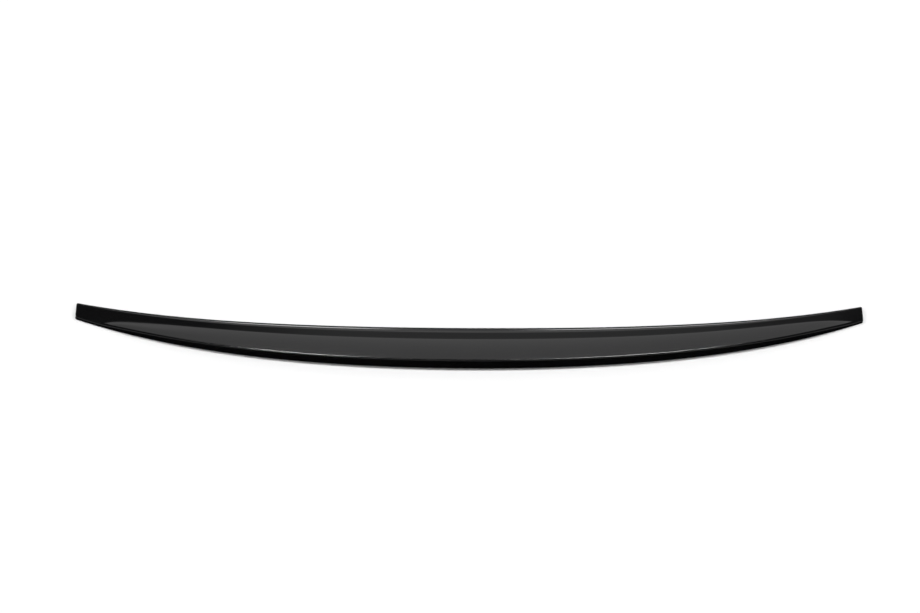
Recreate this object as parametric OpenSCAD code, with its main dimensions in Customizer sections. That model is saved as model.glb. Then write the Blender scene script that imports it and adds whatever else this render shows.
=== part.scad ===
// Lip spoiler for the rear edge of a car's boot lid, moulded in one piece.
// X runs along the length, Y towards the front of the car, Z up from the boot lid.
// Every outline is a smooth even curve along the length, and the moulding is a loft through its sections.

/* [Plan] */
// Length from end to end
length = 1200; // [1000:10:1400]
// Depth from the front edge to the rear edge at the middle
mid_depth = 85; // [78:0.5:98]
// Depth from the front edge to the rear edge at each end
end_depth = 33; // [28:0.5:40]
// Share of the narrowing that comes late, towards the ends
taper_late = 0.16; // [0:0.01:0.4]
// How far the ends lie forward of the middle of the rear edge
rear_sweep = 102.5; // [85:0.5:120]
// Share of the sweep that comes late, towards the ends
sweep_late = 0.31; // [0.1:0.01:0.5]
// Radius of the corners in plan
corner_r = 2.5; // [1.5:0.5:4]

/* [Flat top and rolled front] */
// Height of the flat top at the middle
top_h = 6.7; // [6:0.1:8]
// Height of the flat top at the ends
end_h = 5.5; // [5:0.1:6.6]
// Thickness of the front edge
front_edge = 2.4; // [1.8:0.1:3]
// Radius on the front edge
front_r = 1.2; // [0.8:0.1:1.4]
// How far the roll reaches back from the front edge at the middle
roll_mid = 17; // [11:0.5:20]
// How far the roll reaches back from the front edge at the ends
roll_end = 5; // [4:0.5:8]
// Share of the roll's narrowing that comes late, towards the ends
roll_late = 0.1; // [0:0.01:0.4]

/* [Kick-up] */
// Rise of the trailing edge over the flat top at the middle
kick_h = 10.8; // [8:0.2:14]
// Length of the kick-up's face from the crease to the trailing edge at the middle
face_mid = 52.8; // [42:0.2:58]
// Hollow of the face at the middle
face_hollow = 0.6; // [0:0.1:1.2]
// Length that is blended on each side of the crease
crease_blend = 2.4; // [1:0.1:3]
// Distance from each end to the tip where the kick-up runs out
tip_inset = 26; // [20:1:34]
// Radius on the trailing edge
edge_r = 2.6; // [1.6:0.1:3]
// Lean of the rear face over its height, which lets it leave the mould
draft = 0.6; // [0.3:0.1:1.2]

/* [Underside] */
// Wall thickness over the open channel
wall = 3; // [2.2:0.1:3.6]
// Width of the flat land under the front edge that bonds to the boot lid
land = 14; // [11:0.5:16]
// Thickness of the solid ends
end_wall = 6; // [5:0.5:9]
// Number of cross ribs in the channel
ribs = 9; // [3:2:15]
// Thickness of each rib
rib_t = 2; // [1.2:0.1:3]
// Gap between the ribs and the boot lid
rib_relief = 1; // [0.5:0.1:1.5]

/* [Hidden] */

half_len = length / 2;
tip_x = half_len - tip_inset;
// The trailing edge's arc takes up this length, in edge radii, before the face starts
rim_share = 1.3;
rim = rim_share * edge_r;
// The face never gets shorter than this
face_min = 0.6;
// The blend at the crease takes up no more than this share of the face's first step
blend_share = 0.4;
// Loft counts along the length
body_steps = 34;
corner_steps = 4;
// Loft counts round a section
roll_steps = 7;
flat_steps = 3;
face_steps = 4;
arc_steps = 3;
roof_steps = 9;
// What is trimmed off below the base plane, and how far the ribs reach into the walls
trim = 1;
rib_bite = 1;

// Part of a change that has happened at x, from 0 at the middle to 1 at the ends
function share(x, late) =
    let (u = abs(x) / half_len)
    (1 - late) * pow(u, 2) + late * pow(u, 4);

// How far a rounding of radius r has drawn in, at a distance from its flat end
function draw_in(distance, r) =
    distance >= r ? 0 : r - sqrt(max(0, pow(r, 2) - pow(r - distance, 2)));

function corner_inset(x) = draw_in(half_len - abs(x), corner_r);
function rear_line(x) = rear_sweep * share(x, sweep_late);
function depth(x) = mid_depth - (mid_depth - end_depth) * share(x, taper_late);
function rear_y(x) = rear_line(x) + corner_inset(x);
function front_y(x) = rear_line(x) + depth(x) - corner_inset(x);

// Heights over the base plane, lowered by the rounding at the ends
function end_scale(x) = 1 - draw_in(half_len - abs(x), corner_r / 2) / end_h;
function nose_z(x) = front_edge * end_scale(x);
function crease_z(x) = (top_h - (top_h - end_h) * pow(x / half_len, 2)) * end_scale(x);

// How far open the kick-up is: 1 at the middle, closing as an ellipse to 0 at its tips
function tip_open(x) = sqrt(max(0, 1 - pow(x / tip_x, 2)));
function face_len(x) = max(face_min, face_mid * tip_open(x));
function edge_z(x) = crease_z(x) + kick_h * tip_open(x);
function roll_len(x) = roll_mid - (roll_mid - roll_end) * share(x, roll_late);

// Virtual corner of the trailing edge, and the crease, as [y, z]
function apex(x) = [rear_y(x) + draft, edge_z(x)];
function crease(x) = [rear_y(x) + draft + rim + face_len(x), crease_z(x)];

// Height of the top surface at y: the flat top with its rolled front, and the kick-up's face
function roll_z(x, y) =
    let (part = max(0, 1 - (front_y(x) - y) / roll_len(x)))
    crease_z(x) - (crease_z(x) - nose_z(x)) * pow(part, 2);
function face_z(x, y) =
    let (
        a = apex(x),
        c = crease(x),
        part = (y - a[0]) / (c[0] - a[0]),
        hollow = face_hollow * pow(face_len(x) / face_mid, 2)
    )
    a[1] + (c[1] - a[1]) * part - 4 * hollow * part * (1 - part);
function top_z(x, y) = y > crease(x)[0] ? roll_z(x, y) : face_z(x, y);

// Arc of radius r that rounds the corner b between a and c
function arc_corner(a, b, c, r) =
    let (
        u = (a - b) / norm(a - b),
        v = (c - b) / norm(c - b),
        half_angle = acos(u * v) / 2,
        centre = b + (u + v) / norm(u + v) * r / sin(half_angle),
        start = b + u * r / tan(half_angle) - centre,
        turn = 180 - 2 * half_angle
    )
    [for (i = [0:arc_steps])
        let (t = turn * i / arc_steps)
        centre + [start[0] * cos(t) - start[1] * sin(t), start[0] * sin(t) + start[1] * cos(t)]];

// Soft blend through the corner b, from the point at distance d towards a to that towards c
function blend_corner(a, b, c, d) =
    let (p = b + (a - b) / norm(a - b) * d, q = b + (c - b) / norm(c - b) * d)
    [p, (p + 2 * b + q) / 4, q];

// Section of the outside at x, from the front edge over the top to the rear edge
function outside(x) =
    let (
        front = front_y(x),
        rear = rear_y(x),
        c = crease(x),
        a = apex(x),
        nose = [front, nose_z(x)],
        roll = [for (i = [1:roll_steps])
            let (y = front - roll_len(x) * i / roll_steps) [y, roll_z(x, y)]],
        flat_start = roll[roll_steps - 1],
        face = [for (i = [1:face_steps])
            let (y = c[0] - face_len(x) * i / face_steps) [y, face_z(x, y)]],
        soft = min(crease_blend, blend_share * face_len(x) / face_steps),
        flat_end = [c[0] + soft, c[1]]
    )
    concat(
        [[front, -trim]],
        arc_corner([front, -trim], nose, roll[0], front_r),
        roll,
        [for (i = [1:flat_steps - 1]) flat_start + (flat_end - flat_start) * i / flat_steps],
        blend_corner(flat_start, c, face[0], soft),
        [for (i = [0:face_steps - 2]) face[i]],
        arc_corner(face[face_steps - 1], a, [rear, -trim], edge_r),
        [[rear, -trim]]
    );

// Section of the channel at x, under a roof that follows the top
function channel_front(x) = front_y(x) - land;
function channel_rear(x) = rear_y(x) + draft + wall;
function roof(x, reach) =
    let (y0 = channel_front(x) + reach, y1 = channel_rear(x) - reach)
    [for (i = [0:roof_steps])
        let (y = y0 + (y1 - y0) * i / roof_steps) [y, top_z(x, y) - wall + reach]];
function channel(x) =
    concat([[channel_front(x), -2 * trim]], roof(x, 0), [[channel_rear(x), -2 * trim]]);
function rib(x) =
    concat(
        [[channel_front(x) + rib_bite, rib_relief]],
        roof(x, rib_bite),
        [[channel_rear(x) - rib_bite, rib_relief]]
    );

// Places of the sections along one half, then along the whole length
half_places = concat(
    [for (i = [0:body_steps]) tip_x * sin(90 * i / body_steps)],
    [(tip_x + half_len - corner_r) / 2],
    [for (i = [0:corner_steps]) half_len - corner_r * (1 - sin(90 * i / corner_steps))]
);
half_count = len(half_places);
places = concat(
    [for (i = [half_count - 1:-1:1]) -half_places[i]],
    half_places
);
channel_end = half_len - end_wall;
section_gap = 1;
channel_places = concat(
    [-channel_end],
    [for (x = places) if (abs(x) < channel_end - section_gap) x],
    [channel_end]
);

// The origin is under the middle of the moulding's plan box
mid_y = max([for (x = places) front_y(x)]) / 2;

// Closed skin over one section for each place
module loft(sections, at) {
    n = len(sections[0]);
    last = len(sections) - 1;
    points = [for (s = [0:last], p = sections[s]) [at[s], p[0], p[1]]];
    skin = [for (s = [0:last - 1], i = [0:n - 1])
        let (j = (i + 1) % n)
        each [
            [s * n + i, (s + 1) * n + j, s * n + j],
            [s * n + i, (s + 1) * n + i, (s + 1) * n + j]
        ]];
    first_cap = [for (i = [0:n - 1]) i];
    last_cap = [for (i = [n - 1:-1:0]) last * n + i];
    polyhedron(points, concat(skin, [first_cap, last_cap]), convexity = 6);
}

module body() {
    loft([for (x = places) outside(x)], places);
}

module channel_core() {
    loft([for (x = channel_places) channel(x)], channel_places);
}

module below_base() {
    margin = 10;
    translate([-half_len - margin, -margin, -4 * trim])
        cube([length + 2 * margin, rear_sweep + mid_depth + 2 * margin, 4 * trim]);
}

module cross_ribs() {
    pitch = length / (ribs + 1);
    for (i = [1:ribs]) {
        x = -half_len + pitch * i;
        translate([x - rib_t / 2, 0, 0])
            rotate([90, 0, 90])
                linear_extrude(rib_t)
                    polygon(rib(x));
    }
}

module spoiler() {
    color("#121314")
        translate([0, -mid_y, 0]) {
            difference() {
                body();
                channel_core();
                below_base();
            }
            cross_ribs();
        }
}

spoiler();
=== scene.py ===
"""A low lip spoiler for a car's boot lid, moulded in one piece in gloss black ABS.

The moulding's curves and sizes are those of the part's source, in metres, in the same frame: X along the
length, Y towards the front of the car, Z up from the boot lid. Two forms follow the photograph more
closely than the source does: the tips of the kick-up's face, and the trailing edge's radius near the ends.
The camera stands behind the part and above it, in soft studio light from overhead, from both sides and
from the front.
"""

import logging
import math
from dataclasses import dataclass, field
from enum import Enum

import bpy
from mathutils import Matrix, Vector


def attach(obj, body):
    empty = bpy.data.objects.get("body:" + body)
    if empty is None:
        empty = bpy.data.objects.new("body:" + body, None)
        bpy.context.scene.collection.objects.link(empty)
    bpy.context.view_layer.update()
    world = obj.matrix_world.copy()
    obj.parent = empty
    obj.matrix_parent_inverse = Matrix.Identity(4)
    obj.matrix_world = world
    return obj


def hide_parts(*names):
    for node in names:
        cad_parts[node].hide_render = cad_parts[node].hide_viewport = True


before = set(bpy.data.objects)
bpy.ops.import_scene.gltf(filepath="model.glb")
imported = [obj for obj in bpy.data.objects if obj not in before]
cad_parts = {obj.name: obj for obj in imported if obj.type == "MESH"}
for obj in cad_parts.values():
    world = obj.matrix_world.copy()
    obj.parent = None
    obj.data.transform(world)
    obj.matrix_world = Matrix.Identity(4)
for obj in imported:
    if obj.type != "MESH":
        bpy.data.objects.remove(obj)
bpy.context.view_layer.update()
LOG = logging.getLogger("lip_spoiler")

Point = tuple[float, float]

# A bow of part * (1 - part) is a quarter high in its middle, so this makes its height 1
BOW_SCALE = 4
# Watts per square metre that make the face of an area lamp look as bright as white
BANK_WATTS = 4


class Bay(Enum):
    """What stands under the moulding's roof at a place along its length."""

    OPEN = "open channel"
    RIB = "cross rib"
    SOLID = "solid end"


class Skin(Enum):
    """Which finish a face of the moulding has. The value is its material index."""

    SHOW = 0
    UNDERSIDE = 1


class Side(Enum):
    """A long side of the moulding. The value is the sign of Y outwards from it."""

    REAR = -1
    FRONT = 1


def srgb(hex_colour: str) -> tuple[float, float, float, float]:
    """Turns an sRGB hex colour into the linear colour that a shader takes.

    Args:
        hex_colour: Six hex digits after a hash, such as "#0c0c0d".

    Returns:
        Red, green, blue and an alpha of 1, all linear.
    """
    channels = [int(hex_colour[i:i + 2], 16) / 255 for i in (1, 3, 5)]
    linear = [c / 12.92 if c <= 0.04045 else ((c + 0.055) / 1.055) ** 2.4 for c in channels]
    return linear[0], linear[1], linear[2], 1.0


def add_node(
    tree: bpy.types.NodeTree, kind: str, settings: dict | None = None, links: dict | None = None
) -> bpy.types.Node:
    """Adds a shader node, sets its options and sockets, and links its inputs.

    Args:
        tree: The node tree that gets the node.
        kind: The node's type name, such as "ShaderNodeBump".
        settings: Option names, or input sockets by name or number, and their values.
        links: Input sockets by name or number, and the output sockets that feed them.

    Returns:
        The new node.
    """
    node = tree.nodes.new(kind)
    for key, value in (settings or {}).items():
        if isinstance(key, str) and key in node.bl_rna.properties:
            setattr(node, key, value)
        else:
            node.inputs[key].default_value = value
    for key, source in (links or {}).items():
        tree.links.new(source, node.inputs[key])
    return node


def empty_material(name: str) -> bpy.types.Material:
    """Makes a material with an empty node tree.

    Args:
        name: The finish's name.

    Returns:
        The material, with nodes in use and none in its tree.
    """
    material = bpy.data.materials.new(name)
    material.use_nodes = True
    material.node_tree.nodes.clear()
    return material


def start_afresh() -> None:
    """Leaves edit mode and deselects everything, so that the next operator acts on its own piece."""
    if bpy.context.object and bpy.context.object.mode != "OBJECT":
        bpy.ops.object.mode_set(mode="OBJECT")
    bpy.ops.object.select_all(action="DESELECT")


@dataclass(frozen=True)
class GlossBlackAbs:
    """High-gloss black ABS, moulded in a polished tool, as it comes out of the box.

    It is near black in itself, so nearly all that shows is the room mirrored in it. Slow sink waves and a
    faint orange peel, both from the cooling of the moulding, bend the reflections a little, and a film of
    dust softens them in places.
    """

    colour: str = "#070708"
    ior: float = 1.5
    roughness: float = 0.10
    sink_mm: float = 45.0
    sink_depth_m: float = 0.00005
    peel_mm: float = 9.0
    peel_depth_m: float = 0.0000012
    dust_mm: float = 60.0
    dust_spread: float = 0.03

    def material(self) -> bpy.types.Material:
        """Builds the finish.

        Returns:
            The material for the show side.
        """
        made = empty_material("gloss_black_abs")
        tree = made.node_tree
        place = add_node(tree, "ShaderNodeTexCoord").outputs["Object"]
        # Sink waves some 45 mm across, which leave faint lighter and darker clouds in broad reflections
        sink = add_node(
            tree, "ShaderNodeTexNoise",
            {"Scale": 1000 / self.sink_mm, "Detail": 1.0, "Roughness": 0.4}, {"Vector": place},
        )
        waves = add_node(
            tree, "ShaderNodeBump", {"Distance": self.sink_depth_m, "Strength": 1.0},
            {"Height": sink.outputs["Fac"]},
        )
        # Orange peel: shallow waves 9 mm across, which make long reflections waver slightly
        peel = add_node(
            tree, "ShaderNodeTexNoise",
            {"Scale": 1000 / self.peel_mm, "Detail": 2.0, "Roughness": 0.45}, {"Vector": place},
        )
        bump = add_node(
            tree, "ShaderNodeBump", {"Distance": self.peel_depth_m, "Strength": 1.0},
            {"Height": peel.outputs["Fac"], "Normal": waves.outputs["Normal"]},
        )
        # Dust and handling haze in clouds some 60 mm across, seen as slightly softer reflections
        dust = add_node(
            tree, "ShaderNodeTexNoise",
            {"Scale": 1000 / self.dust_mm, "Detail": 5.0, "Roughness": 0.6}, {"Vector": place},
        )
        haze = add_node(
            tree, "ShaderNodeMapRange",
            {"From Min": 0.35, "From Max": 0.7, "To Min": self.roughness,
             "To Max": self.roughness + self.dust_spread},
            {"Value": dust.outputs["Fac"]},
        )
        shader = add_node(
            tree, "ShaderNodeBsdfPrincipled", {"Base Color": srgb(self.colour), "IOR": self.ior},
            {"Roughness": haze.outputs["Result"], "Normal": bump.outputs["Normal"]},
        )
        add_node(tree, "ShaderNodeOutputMaterial", links={"Surface": shader.outputs["BSDF"]})
        return made


@dataclass(frozen=True)
class SatinMouldedAbs:
    """The hidden side of the same moulding: black ABS from a spark-eroded tool face.

    The tool's fine grain gives an even satin surface with broad, dim reflections.
    """

    colour: str = "#161617"
    ior: float = 1.54
    roughness: float = 0.46
    grain_mm: float = 0.9
    grain_depth_m: float = 0.00003

    def material(self) -> bpy.types.Material:
        """Builds the finish.

        Returns:
            The material for the underside.
        """
        made = empty_material("satin_moulded_abs")
        tree = made.node_tree
        place = add_node(tree, "ShaderNodeTexCoord").outputs["Object"]
        # Spark-eroded grain, drawn at 0.9 mm where the real one is about 0.1 mm, so that it shows
        grain = add_node(
            tree, "ShaderNodeTexNoise",
            {"Scale": 1000 / self.grain_mm, "Detail": 3.0, "Roughness": 0.6}, {"Vector": place},
        )
        bump = add_node(
            tree, "ShaderNodeBump", {"Distance": self.grain_depth_m, "Strength": 1.0},
            {"Height": grain.outputs["Fac"]},
        )
        shader = add_node(
            tree, "ShaderNodeBsdfPrincipled",
            {"Base Color": srgb(self.colour), "IOR": self.ior, "Roughness": self.roughness},
            {"Normal": bump.outputs["Normal"]},
        )
        add_node(tree, "ShaderNodeOutputMaterial", links={"Surface": shader.outputs["BSDF"]})
        return made


def towards(start: Point, end: Point, distance: float) -> Point:
    """Gives the point at a distance from start on the line to end.

    Args:
        start: Where the line starts, as (y, z).
        end: A point that the line goes to.
        distance: How far along it to go.

    Returns:
        The point, as (y, z).
    """
    dy, dz = end[0] - start[0], end[1] - start[1]
    share = distance / math.hypot(dy, dz)
    return start[0] + dy * share, start[1] + dz * share


def arc_corner(before: Point, corner: Point, after: Point, radius: float, steps: int) -> list[Point]:
    """Rounds a corner of a section with a true arc.

    Args:
        before: A point on the line that comes to the corner, as (y, z).
        corner: The corner itself.
        after: A point on the line that leaves it.
        radius: The arc's radius.
        steps: How many chords the arc gets.

    Returns:
        The arc's points, from the line that comes to the line that leaves.
    """
    ay, az = before[0] - corner[0], before[1] - corner[1]
    by, bz = after[0] - corner[0], after[1] - corner[1]
    turned = math.atan2(ay * bz - az * by, ay * by + az * bz)
    half = abs(turned) / 2
    first = towards(corner, before, radius / math.tan(half))
    middle = towards(corner, before, 1.0)
    other = towards(corner, after, 1.0)
    bisector = (middle[0] + other[0]) / 2, (middle[1] + other[1]) / 2
    centre = towards(corner, bisector, radius / math.sin(half))
    sweep = math.copysign(math.pi - 2 * half, -turned)
    sy, sz = first[0] - centre[0], first[1] - centre[1]
    points = []
    for i in range(steps + 1):
        t = sweep * i / steps
        points.append((
            centre[0] + sy * math.cos(t) - sz * math.sin(t),
            centre[1] + sy * math.sin(t) + sz * math.cos(t),
        ))
    return points


def blend_corner(before: Point, corner: Point, after: Point, distance: float, steps: int) -> list[Point]:
    """Softens a corner with a parabola that starts and ends at a distance from it.

    Args:
        before: A point on the line that comes to the corner, as (y, z).
        corner: The corner itself.
        after: A point on the line that leaves it.
        distance: How far from the corner the blend starts and ends.
        steps: How many chords it gets.

    Returns:
        The blend's points.
    """
    first, last = towards(corner, before, distance), towards(corner, after, distance)
    points = []
    for i in range(steps + 1):
        t = i / steps
        weights = (1 - t) ** 2, 2 * t * (1 - t), t ** 2
        points.append(tuple(
            weights[0] * a + weights[1] * b + weights[2] * c for a, b, c in zip(first, corner, last)
        ))
    return points


@dataclass(frozen=True)
class FaceTip:
    """How the kick-up's face runs out towards one end, as the photograph shows it, in metres.

    Attributes:
        reach: The tip's distance from the middle of the length.
        ease: The run over which the face eases down to its tip.
        hollow: The share, at the tip, of the hollow that lets the face leave its crease level.
        hollow_run: The run over which that hollow fades away from the tip.
    """

    reach: float
    ease: float
    hollow: float = 0.0
    hollow_run: float = 0.11


@dataclass(frozen=True)
class LipForm:
    """The moulding's sizes and the curves that carry them along its length, in metres."""

    # Outline in plan
    length: float = 1.200
    mid_depth: float = 0.085
    end_depth: float = 0.033
    taper_late: float = 0.16
    rear_sweep: float = 0.1025
    sweep_late: float = 0.31
    corner_r: float = 0.0025
    # How many steps the source divides a plan corner into, which its plan box depends on
    source_corner_steps: int = 4
    # Flat top and rolled front
    top_h: float = 0.0067
    end_h: float = 0.0055
    front_edge: float = 0.0024
    front_r: float = 0.0012
    roll_mid: float = 0.017
    roll_end: float = 0.005
    roll_late: float = 0.1
    # Kick-up
    kick_h: float = 0.0108
    face_mid: float = 0.0528
    face_hollow: float = 0.0006
    face_min: float = 0.0006
    crease_blend: float = 0.0024
    tip_inset: float = 0.026
    left_tip: FaceTip = FaceTip(reach=0.560, ease=0.012, hollow=0.8)
    right_tip: FaceTip = FaceTip(reach=0.588, ease=0.022)
    edge_r: float = 0.0026
    edge_end_r: float = 0.0041
    # The trailing edge's arc takes up this length, in edge radii, before the face starts
    rim_share: float = 1.3
    draft: float = 0.0006
    # Underside
    wall: float = 0.003
    land: float = 0.014
    end_wall: float = 0.006
    ribs: int = 9
    rib_t: float = 0.002
    rib_relief: float = 0.001

    @property
    def half_len(self) -> float:
        """Gives half the length."""
        return self.length / 2

    @property
    def tip_x(self) -> float:
        """Gives the place of the face's tip in the source, which the stations are spaced by."""
        return self.half_len - self.tip_inset

    @property
    def rim(self) -> float:
        """Gives the part of the face that the trailing edge's arc takes up."""
        return self.rim_share * self.edge_r

    @property
    def channel_end(self) -> float:
        """Gives the place where the channel ends and the solid end starts."""
        return self.half_len - self.end_wall

    @property
    def mid_y(self) -> float:
        """Gives the middle of the plan box, which the whole part is moved back by.

        Returns:
            Half of the furthest that the front edge reaches at the source's places along a corner.
        """
        steps = self.source_corner_steps
        turns = [math.sin(math.pi / 2 * i / steps) for i in range(steps + 1)]
        return max(self.front_y(self.half_len - self.corner_r * (1 - t)) for t in turns) / 2

    def share(self, x: float, late: float) -> float:
        """Gives the part of a change that has happened at x, from 0 in the middle to 1 at the ends.

        Args:
            x: The place along the length.
            late: The share of the change that comes late.

        Returns:
            The part of the change.
        """
        u = abs(x) / self.half_len
        return (1 - late) * u ** 2 + late * u ** 4

    def draw_in(self, distance: float, radius: float) -> float:
        """Gives how far a rounding has drawn in.

        Args:
            distance: The distance from the rounding's flat end.
            radius: The rounding's radius.

        Returns:
            The distance that the outline has moved inwards.
        """
        if distance >= radius:
            return 0.0
        return radius - math.sqrt(max(0.0, radius ** 2 - (radius - distance) ** 2))

    def corner_inset(self, x: float) -> float:
        """Gives how far the plan corners have drawn in at x."""
        return self.draw_in(self.half_len - abs(x), self.corner_r)

    def rear_line(self, x: float) -> float:
        """Gives the sweep of the rear edge at x."""
        return self.rear_sweep * self.share(x, self.sweep_late)

    def depth(self, x: float) -> float:
        """Gives the depth from front to rear at x."""
        return self.mid_depth - (self.mid_depth - self.end_depth) * self.share(x, self.taper_late)

    def rear_y(self, x: float) -> float:
        """Gives the rear edge's y at x."""
        return self.rear_line(x) + self.corner_inset(x)

    def front_y(self, x: float) -> float:
        """Gives the front edge's y at x."""
        return self.rear_line(x) + self.depth(x) - self.corner_inset(x)

    def end_scale(self, x: float) -> float:
        """Gives the share of the height that the rounding at the ends leaves."""
        return 1 - self.draw_in(self.half_len - abs(x), self.corner_r / 2) / self.end_h

    def nose_z(self, x: float) -> float:
        """Gives the height of the front edge's virtual corner at x."""
        return self.front_edge * self.end_scale(x)

    def tip_at(self, x: float) -> FaceTip:
        """Gives the tip that the face runs out to on x's side of the middle."""
        return self.left_tip if x < 0 else self.right_tip

    def tip_open(self, x: float) -> float:
        """Gives how far open the kick-up is, from 1 in the middle to 0 from its tips outwards.

        Args:
            x: The place along the length.

        Returns:
            The share of the kick-up's full height and length.
        """
        tip = self.tip_at(x)
        inside = tip.reach - abs(x)
        if inside <= 0:
            return 0.0
        return math.sqrt(1 - (x / tip.reach) ** 2) * (1 - math.exp(-inside / tip.ease))

    def hollow(self, x: float) -> float:
        """Gives how deep the face is hollowed, with what its tip adds.

        Args:
            x: The place along the length.

        Returns:
            The hollow's depth at the middle of the face.
        """
        tip = self.tip_at(x)
        near = math.exp(-((tip.reach - abs(x)) / tip.hollow_run) ** 2)
        level_hollow = (self.edge_z(x) - self.crease_z(x)) / BOW_SCALE
        even = self.face_hollow * (self.face_len(x) / self.face_mid) ** 2
        return even + tip.hollow * near * level_hollow

    def face_len(self, x: float) -> float:
        """Gives the length of the kick-up's face at x."""
        return max(self.face_min, self.face_mid * self.tip_open(x))

    def crease_z(self, x: float) -> float:
        """Gives the height of the flat top and its crease at x."""
        u = abs(x) / self.half_len
        return (self.top_h - (self.top_h - self.end_h) * u ** 2) * self.end_scale(x)

    def edge_z(self, x: float) -> float:
        """Gives the height of the trailing edge's virtual corner at x."""
        return self.crease_z(x) + self.kick_h * self.tip_open(x)

    def edge_radius(self, x: float) -> float:
        """Gives the trailing edge's radius at x, which grows late, towards the ends."""
        return self.edge_r + (self.edge_end_r - self.edge_r) * (abs(x) / self.half_len) ** 4

    def roll_len(self, x: float) -> float:
        """Gives how far the roll reaches back from the front edge at x."""
        return self.roll_mid - (self.roll_mid - self.roll_end) * self.share(x, self.roll_late)

    def apex(self, x: float) -> Point:
        """Gives the trailing edge's virtual corner at x."""
        return self.rear_y(x) + self.draft, self.edge_z(x)

    def crease(self, x: float) -> Point:
        """Gives the crease's virtual corner at x."""
        return self.rear_y(x) + self.draft + self.rim + self.face_len(x), self.crease_z(x)

    def roll_z(self, x: float, y: float) -> float:
        """Gives the height of the flat top and the rolled front at x and y."""
        part = max(0.0, 1 - (self.front_y(x) - y) / self.roll_len(x))
        return self.crease_z(x) - (self.crease_z(x) - self.nose_z(x)) * part ** 2

    def face_z(self, x: float, y: float) -> float:
        """Gives the height of the kick-up's hollow face.

        Args:
            x: The place along the length.
            y: The place across it, as in the source.

        Returns:
            The height over the base.
        """
        ay, az = self.apex(x)
        cy, cz = self.crease(x)
        part = (y - ay) / (cy - ay)
        return az + (cz - az) * part - BOW_SCALE * self.hollow(x) * part * (1 - part)

    def top_z(self, x: float, y: float) -> float:
        """Gives the height of the whole top at x and y."""
        return self.roll_z(x, y) if y > self.crease(x)[0] else self.face_z(x, y)


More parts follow.
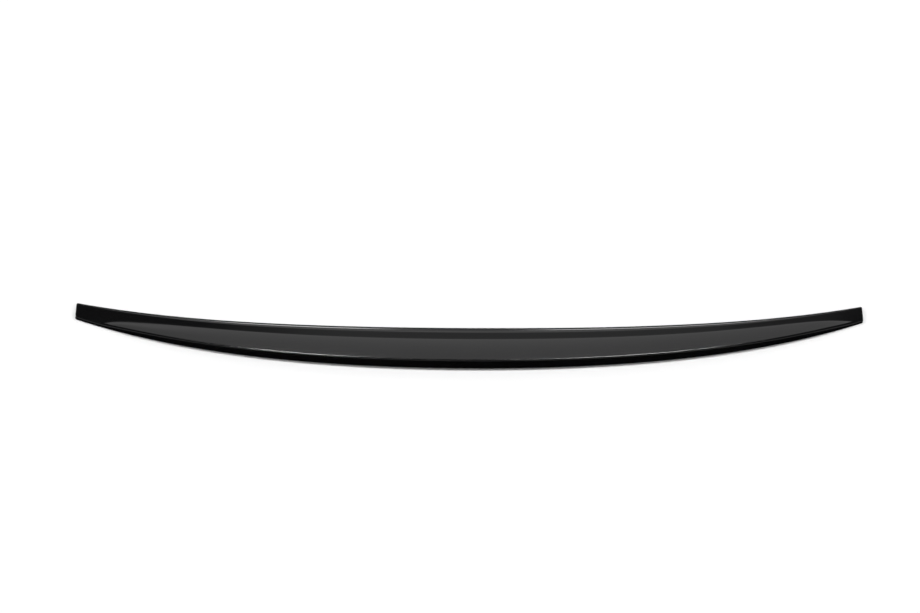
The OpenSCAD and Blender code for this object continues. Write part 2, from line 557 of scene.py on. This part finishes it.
@dataclass
class LipMoulding:
    """The whole moulding: show side, underside, channel, solid ends and cross ribs, as one closed skin."""

    form: LipForm = field(default_factory=LipForm)
    show_finish: GlossBlackAbs = field(default_factory=GlossBlackAbs)
    hidden_finish: SatinMouldedAbs = field(default_factory=SatinMouldedAbs)
    base_r: float = 0.0004
    channel_edge_r: float = 0.0004
    roof_r: float = 0.0006
    # How far from a small corner its level side starts, in radii
    lead: float = 4.0
    # Stations along the length. None but a wall's own comes closer than the gap to a wall of a rib or end
    station_pitch: float = 0.005
    station_gap: float = 0.0005
    plain_steps: int = 14
    corner_steps: int = 10
    # Steps round a section
    arc_steps: int = 10
    small_arc_steps: int = 3
    blend_steps: int = 8
    roll_steps: int = 18
    flat_steps: int = 8
    face_steps: int = 22
    rear_steps: int = 4
    roof_steps: int = 14
    smooth_angle: float = math.radians(32)
    merge_distance: float = 0.000001
    # The blend at the crease takes up no more than this share of the source's first step on the face
    blend_share: float = 0.4
    source_face_steps: int = 4

    def outside(self, x: float) -> list[Point]:
        """Gives the section of the show side at x, from the front edge's base to the rear edge's base.

        Args:
            x: The place along the length.

        Returns:
            The section's points, as (y, z).
        """
        form = self.form
        front, rear = form.front_y(x), form.rear_y(x)
        crease, apex = form.crease(x), form.apex(x)
        nose = front, form.nose_z(x)
        length = form.face_len(x)
        soft = min(form.crease_blend, self.blend_share * length / self.source_face_steps)
        roll_back = front - form.roll_len(x)
        nose_next = self.at_roll(x, front + (roll_back - front) / self.roll_steps)
        lead = self.base_r * self.lead
        base = arc_corner((front - lead, 0.0), (front, 0.0), nose, self.base_r, self.small_arc_steps)
        edge = arc_corner((front, 0.0), nose, nose_next, form.front_r, self.arc_steps)
        roll = [self.at_roll(x, y) for y in self.between(edge[-1][0], roll_back, self.roll_steps)]
        flat = [self.at_roll(x, y) for y in self.between(roll_back, crease[0] + soft, self.flat_steps)]
        blend = blend_corner(
            self.at_roll(x, crease[0] + soft), crease, self.at_face(x, crease[0] - soft),
            soft, self.blend_steps,
        )
        face_end = self.at_face(x, crease[0] - length)
        trailing = arc_corner(face_end, apex, (rear, 0.0), form.edge_radius(x), self.arc_steps)
        face = [
            self.at_face(x, y) for y in self.between(crease[0] - soft, trailing[0][0], self.face_steps)
        ]
        upright = [
            (trailing[-1][0] + (rear - trailing[-1][0]) * i / self.rear_steps,
             trailing[-1][1] * (1 - i / self.rear_steps))
            for i in range(1, self.rear_steps)
        ]
        foot = arc_corner(apex, (rear, 0.0), (rear + lead, 0.0), self.base_r, self.small_arc_steps)
        top = roll + [self.at_roll(x, roll_back)] + flat + blend + face
        return base + edge + top + trailing + upright + foot

    def between(self, first: float, last: float, steps: int) -> list[float]:
        """Gives the places that divide a run into even steps, without its two ends."""
        return [first + (last - first) * i / steps for i in range(1, steps)]

    def at_roll(self, x: float, y: float) -> Point:
        """Gives the point of the rolled front at x and y."""
        return y, self.form.roll_z(x, y)

    def at_face(self, x: float, y: float) -> Point:
        """Gives the point of the kick-up's face at x and y."""
        return y, self.form.face_z(x, y)

    def beneath(self, x: float, bay: Bay) -> list[Point]:
        """Gives the section of the underside at x, from the rear rim to the front land.

        Args:
            x: The place along the length.
            bay: What stands under the roof there.

        Returns:
            The section's points, as (y, z).
        """
        form = self.form
        front, rear = form.front_y(x) - form.land, form.rear_y(x) + form.draft + form.wall
        relief = form.rib_relief
        roof = [rear + (front - rear) * i / self.roof_steps for i in range(self.roof_steps + 1)]
        roof = [(y, form.top_z(x, y) - form.wall) for y in roof]
        lip = self.channel_edge_r
        lead = lip * self.lead
        small = self.small_arc_steps
        rear_edge = arc_corner((rear - lead, 0.0), (rear, 0.0), (rear, relief), lip, small)
        rear_top = arc_corner((rear, relief), roof[0], roof[1], self.roof_r, small)
        front_top = arc_corner(roof[-2], roof[-1], (front, relief), self.roof_r, small)
        front_edge = arc_corner((front, relief), (front, 0.0), (front + lead, 0.0), lip, small)
        arch = rear_top + roof[1:-1] + front_top
        if bay is not Bay.OPEN:
            arch = [(y, relief) for y, _ in arch]
        run = rear_edge + [(rear, relief)] + arch + [(front, relief)] + front_edge
        if bay is Bay.SOLID:
            run = [(y, 0.0) for y, _ in run]
        return run

    def bay_at(self, x: float, walls: list[tuple[float, float]]) -> Bay:
        """Gives what stands under the roof at a place that isn't a wall itself.

        Args:
            x: The place along the length.
            walls: Where each rib starts and ends.

        Returns:
            The kind of bay.
        """
        if abs(x) > self.form.channel_end:
            return Bay.SOLID
        return Bay.RIB if any(a < x < b for a, b in walls) else Bay.OPEN

    def stations(self) -> list[tuple[float, Bay]]:
        """Lists the places of the sections along the length, with what stands under the roof at each.

        Returns:
            Places from one end to the other. A wall of a rib or end has two or three at one place.
        """
        form = self.form
        count = round(form.tip_x / self.station_pitch)
        half = [form.tip_x * math.sin(math.pi / 2 * i / count) for i in range(count + 1)]
        plain_end = form.half_len - form.corner_r
        half += self.between(form.tip_x, plain_end, self.plain_steps)
        half += [
            form.half_len - form.corner_r * (1 - math.sin(math.pi / 2 * i / self.corner_steps))
            for i in range(self.corner_steps + 1)
        ]
        pitch = form.length / (form.ribs + 1)
        middles = [-form.half_len + pitch * (i + 1) for i in range(form.ribs)]
        walls = [(m - form.rib_t / 2, m + form.rib_t / 2) for m in middles]
        gap = self.station_gap
        plain = [-x for x in reversed(half[1:])] + half
        plain = [
            x for x in plain
            if all(abs(x - a) > gap and abs(x - b) > gap for a, b in walls)
            and abs(abs(x) - form.channel_end) > gap
        ]
        # Each row is a place, its turn among the rows there, and its bay
        rows = [(x, 1, self.bay_at(x, walls)) for x in plain]
        for a, b in walls:
            rows += [(a, 1, Bay.OPEN), (a, 2, Bay.RIB), (b, 1, Bay.RIB), (b, 2, Bay.OPEN)]
        end = form.channel_end
        rows += [(-end, 1, Bay.SOLID), (-end, 2, Bay.RIB), (-end, 3, Bay.OPEN)]
        rows += [(end, 1, Bay.OPEN), (end, 2, Bay.RIB), (end, 3, Bay.SOLID)]
        rows.sort(key=lambda row: (row[0], row[1]))
        return [(x, bay) for x, _, bay in rows]

    def build(self) -> bpy.types.Object:
        """Models the moulding: a grid laid over the sections, closed round and at both ends.

        Returns:
            The finished piece, before its materials.
        """
        stations = self.stations()
        show_points = len(self.outside(0.0))
        columns = show_points + len(self.beneath(0.0, Bay.OPEN)) + 1
        start_afresh()
        bpy.ops.mesh.primitive_grid_add(
            x_subdivisions=columns - 1, y_subdivisions=len(stations) - 1, size=self.form.length
        )
        piece = bpy.context.object
        piece.name = piece.data.name = "lip_moulding"
        places = []
        for x, bay in stations:
            section = self.outside(x) + self.beneath(x, bay)
            for y, z in section + section[:1]:
                places += [x, y - self.form.mid_y, z]
        piece.data.vertices.foreach_set("co", places)
        skins = [
            Skin.SHOW.value if column < show_points - 1 else Skin.UNDERSIDE.value
            for _ in stations[1:] for column in range(columns - 1)
        ]
        piece.data.polygons.foreach_set("material_index", skins)
        piece.data.update()
        self.close(piece)
        bpy.ops.object.shade_smooth_by_angle(angle=self.smooth_angle)
        return piece

    def close(self, piece: bpy.types.Object) -> None:
        """Joins the grid's two long sides, drops what fell together and fills both ends.

        Args:
            piece: The moulding, the active and only selected object.
        """
        bpy.ops.object.mode_set(mode="EDIT")
        bpy.ops.mesh.select_all(action="SELECT")
        bpy.ops.mesh.remove_doubles(threshold=self.merge_distance)
        for end in (-1, 1):
            bpy.ops.mesh.select_all(action="DESELECT")
            bpy.ops.object.mode_set(mode="OBJECT")
            for vertex in piece.data.vertices:
                vertex.select = end * vertex.co.x > self.form.half_len - self.merge_distance
            bpy.ops.object.mode_set(mode="EDIT")
            bpy.ops.mesh.select_mode(type="EDGE")
            bpy.ops.mesh.edge_face_add()
            bpy.ops.mesh.select_mode(type="VERT")
        bpy.ops.mesh.select_all(action="SELECT")
        bpy.ops.mesh.normals_make_consistent(inside=False)
        bpy.ops.object.mode_set(mode="OBJECT")

    def dress(self, piece: bpy.types.Object) -> None:
        """Gives the moulding its two finishes, puts it under the root body and hides the source part that
        it stands in for.

        Args:
            piece: The finished moulding.
        """
        # Clearing the slots sets every face's index back to 0, so the indices are kept and put back
        kept = [polygon.material_index for polygon in piece.data.polygons]
        piece.data.materials.clear()
        piece.data.materials.append(self.show_finish.material())
        piece.data.materials.append(self.hidden_finish.material())
        piece.data.polygons.foreach_set("material_index", kept)
        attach(piece, "root")
        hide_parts("spoiler")

    def make(self) -> bpy.types.Object:
        """Builds and dresses the moulding.

        Returns:
            The finished piece.
        """
        piece = self.build()
        self.dress(piece)
        return piece


@dataclass(frozen=True)
class StudioFloor:
    """A plain near-white floor, matt, wide enough to fill the view from every side."""

    size: float = 40.0
    drop: float = 0.0002
    colour: str = "#fefefe"

    def make(self) -> bpy.types.Object:
        """Lays the floor just under the moulding.

        Returns:
            The floor.
        """
        start_afresh()
        bpy.ops.mesh.primitive_plane_add(size=self.size)
        floor = bpy.context.object
        floor.name = floor.data.name = "studio_floor"
        floor.data.transform(Matrix.Translation((0, 0, -self.drop)))
        paint = empty_material("matt_white_floor")
        tree = paint.node_tree
        matt = add_node(tree, "ShaderNodeBsdfDiffuse", {"Color": srgb(self.colour)})
        add_node(tree, "ShaderNodeOutputMaterial", links={"Surface": matt.outputs["BSDF"]})
        floor.data.materials.append(paint)
        return floor


@dataclass(frozen=True)
class FlagCard:
    """A black card that lies along an edge and shows only in the gloss, as a photographer's flag does.

    It keeps the white floor out of the upright rear face and out of the rim of the front edge, which the
    photograph shows nearly black.
    """

    form: LipForm
    side: Side
    reach: float = 0.35
    clearance: float = 0.0008
    height: float = 0.0001
    margin: float = 0.05
    steps: int = 80
    colour: str = "#202020"

    def make(self) -> bpy.types.Object:
        """Cuts the card to the curve of its edge and lays it down.

        Returns:
            The card.
        """
        start_afresh()
        bpy.ops.mesh.primitive_grid_add(x_subdivisions=self.steps, y_subdivisions=1, size=1)
        card = bpy.context.object
        card.name = card.data.name = f"flag_card_{self.side.name.lower()}"
        for vertex in card.data.vertices:
            x = vertex.co.x * (self.form.length + 2 * self.margin)
            edge = self.form.rear_line(x) - self.form.mid_y
            if self.side is Side.FRONT:
                edge += self.form.depth(x)
            away = self.clearance if vertex.co.y > 0 else self.reach
            vertex.co = x, edge + self.side.value * away, self.height
        black = empty_material("matt_black_card")
        tree = black.node_tree
        matt = add_node(tree, "ShaderNodeBsdfDiffuse", {"Color": srgb(self.colour)})
        add_node(tree, "ShaderNodeOutputMaterial", links={"Surface": matt.outputs["BSDF"]})
        card.data.materials.append(black)
        card.visible_camera = card.visible_diffuse = card.visible_shadow = False
        card.visible_transmission = card.visible_volume_scatter = False
        return card


class LampKind(Enum):
    """The kinds of lamp in the studio: a soft box near by, and one far off with even light."""

    BANK = "AREA"
    FAR = "SUN"


@dataclass(frozen=True)
class StudioLamp:
    """One soft lamp, placed by its direction from the middle of the part.

    Azimuth runs from the front of the car towards +X, and elevation up from the floor. A bank's level is
    how bright its face looks, where 1 is white, and a far lamp's is the light that it lays on the floor.
    """

    name: str
    kind: LampKind
    azimuth: float
    elevation: float
    level: float
    width: float = 1.0
    height: float = 1.0
    distance: float = 4.0
    spread: float = 12.0

    def direction(self) -> Vector:
        """Gives the unit vector from the part to the lamp."""
        turn, lift = math.radians(self.azimuth), math.radians(self.elevation)
        return Vector((math.sin(turn) * math.cos(lift), math.cos(turn) * math.cos(lift), math.sin(lift)))

    def make(self) -> bpy.types.Object:
        """Adds the lamp, aimed at the part.

        Returns:
            The lamp.
        """
        start_afresh()
        place = self.direction() * self.distance
        bpy.ops.object.light_add(type=self.kind.value, location=place)
        lamp = bpy.context.object
        lamp.name = lamp.data.name = self.name
        aim = (-place).to_track_quat("-Z", "Y").to_matrix().to_4x4()
        lamp.matrix_world = Matrix.Translation(place) @ aim
        if self.kind is LampKind.FAR:
            lamp.data.angle = math.radians(self.spread)
            lamp.data.energy = self.level * math.pi / math.sin(math.radians(self.elevation))
        else:
            lamp.data.shape = "RECTANGLE"
            lamp.data.size, lamp.data.size_y = self.width, self.height
            lamp.data.energy = self.level * BANK_WATTS * self.width * self.height
        lamp.visible_camera = False
        return lamp


@dataclass(frozen=True)
class StudioRoom:
    """The room round the set: its levels by the sine of the elevation, where 1 is white.

    A broad pale band stands some 15 to 34 degrees up, brighter towards its top, and the ceiling is dark.
    """

    levels: tuple[tuple[float, float], ...] = (
        (0.0, 0.24), (0.06, 0.26), (0.16, 0.27), (0.26, 0.42), (0.34, 0.50), (0.41, 0.64), (0.47, 0.95),
        (0.55, 1.1), (0.59, 0.06), (0.8, 0.03),
    )

    def make(self) -> None:
        """Sets the world to the room's levels by height."""
        world = bpy.data.worlds.new("studio_room")
        bpy.context.scene.world = world
        world.use_nodes = True
        tree = world.node_tree
        tree.nodes.clear()
        way = add_node(tree, "ShaderNodeTexCoord").outputs["Generated"]
        parts = add_node(tree, "ShaderNodeSeparateXYZ", links={"Vector": way})
        ramp = add_node(tree, "ShaderNodeValToRGB", links={"Fac": parts.outputs["Z"]})
        stops = ramp.color_ramp.elements
        while len(stops) < len(self.levels):
            stops.new(1.0)
        for stop, (at, level) in zip(stops, self.levels):
            stop.position = at
            stop.color = level, level, level, 1.0
        light = add_node(
            tree, "ShaderNodeBackground", {"Strength": 1.0}, {"Color": ramp.outputs["Color"]}
        )
        add_node(tree, "ShaderNodeOutputWorld", links={"Surface": light.outputs["Background"]})


@dataclass(frozen=True)
class PhotoCamera:
    """The camera behind the part and above it, tilted as in the photograph."""

    distance: float = 6.0
    elevation: float = 45.0
    focal_px: float = 3987.2
    image_width: int = 920
    sensor: float = 36.0
    right_px: float = 9.2
    down_px: float = 62.1
    roll: float = -0.145
    far: float = 100.0

    def make(self, rear_y: float) -> bpy.types.Object:
        """Adds the camera and makes it the scene's.

        Args:
            rear_y: The y of the middle of the rear edge, which the camera's distance is measured from.

        Returns:
            The camera.
        """
        start_afresh()
        lift = math.radians(self.elevation)
        back = Vector((0, -math.cos(lift), math.sin(lift)))
        up = Vector((0, math.sin(lift), math.cos(lift)))
        target = Vector((0, rear_y, 0))
        place = target + back * self.distance
        per_px = self.distance / self.focal_px
        aim = target + up * self.down_px * per_px - Vector((1, 0, 0)) * self.right_px * per_px
        bpy.ops.object.camera_add(location=place)
        camera = bpy.context.object
        camera.name = camera.data.name = "photo_camera"
        turn = (aim - place).to_track_quat("-Z", "Y").to_matrix().to_4x4()
        camera.matrix_world = (
            Matrix.Translation(place) @ turn @ Matrix.Rotation(math.radians(-self.roll), 4, "Z")
        )
        camera.data.sensor_width = self.sensor
        camera.data.lens = self.focal_px * self.sensor / self.image_width
        camera.data.clip_end = self.far
        bpy.context.scene.camera = camera
        return camera


@dataclass
class Studio:
    """The floor, the flag cards, the room, the lamps and the camera."""

    form: LipForm
    floor: StudioFloor = field(default_factory=StudioFloor)
    room: StudioRoom = field(default_factory=StudioRoom)
    camera: PhotoCamera = field(default_factory=PhotoCamera)
    lamps: tuple[StudioLamp, ...] = (
        # The light line along the trailing edge
        StudioLamp("overhead_left", LampKind.FAR, azimuth=-21.5, elevation=72, level=0.25, spread=4.6),
        StudioLamp("overhead_right", LampKind.FAR, azimuth=20.7, elevation=72, level=0.26, spread=7.6),
        # Light on the floor from both sides, where the trailing edge doesn't mirror it to the camera
        StudioLamp("side_left", LampKind.FAR, azimuth=-75, elevation=45, level=0.14, spread=16),
        StudioLamp("side_right", LampKind.FAR, azimuth=75, elevation=45, level=0.14, spread=16),
        # The light line along the rolled front
        StudioLamp(
            "low_left", LampKind.BANK, azimuth=-5.3, elevation=11.5, level=4.2, width=0.31, height=0.5
        ),
        StudioLamp(
            "low_right", LampKind.BANK, azimuth=5.5, elevation=11.5, level=3.0, width=0.42, height=0.5
        ),
        # The lighter middle of the flat top
        StudioLamp(
            "ceiling_wide", LampKind.BANK, azimuth=3.3, elevation=44, level=0.12, width=1.57, height=1.1
        ),
        StudioLamp(
            "ceiling_core", LampKind.BANK, azimuth=2.1, elevation=44, level=0.16, width=1.12, height=1.1
        ),
    )

    def make(self) -> None:
        """Builds the studio and reports each item."""
        LOG.info("floor: %s", self.floor.make().name)
        for side in Side:
            LOG.info("flag: %s", FlagCard(self.form, side).make().name)
        self.room.make()
        for lamp in self.lamps:
            LOG.info("lamp: %s", lamp.make().name)
        LOG.info("camera: %s", self.camera.make(-self.form.mid_y).name)
        bpy.context.scene.view_settings.view_transform = "Standard"


def main() -> None:
    """Builds the moulding and the studio, in order, and reports each piece."""
    logging.basicConfig(level=logging.INFO, format="%(message)s")
    moulding = LipMoulding()
    piece = moulding.make()
    LOG.info("piece: %s, %d faces", piece.name, len(piece.data.polygons))
    Studio(moulding.form).make()


if __name__ == "__main__":
    main()
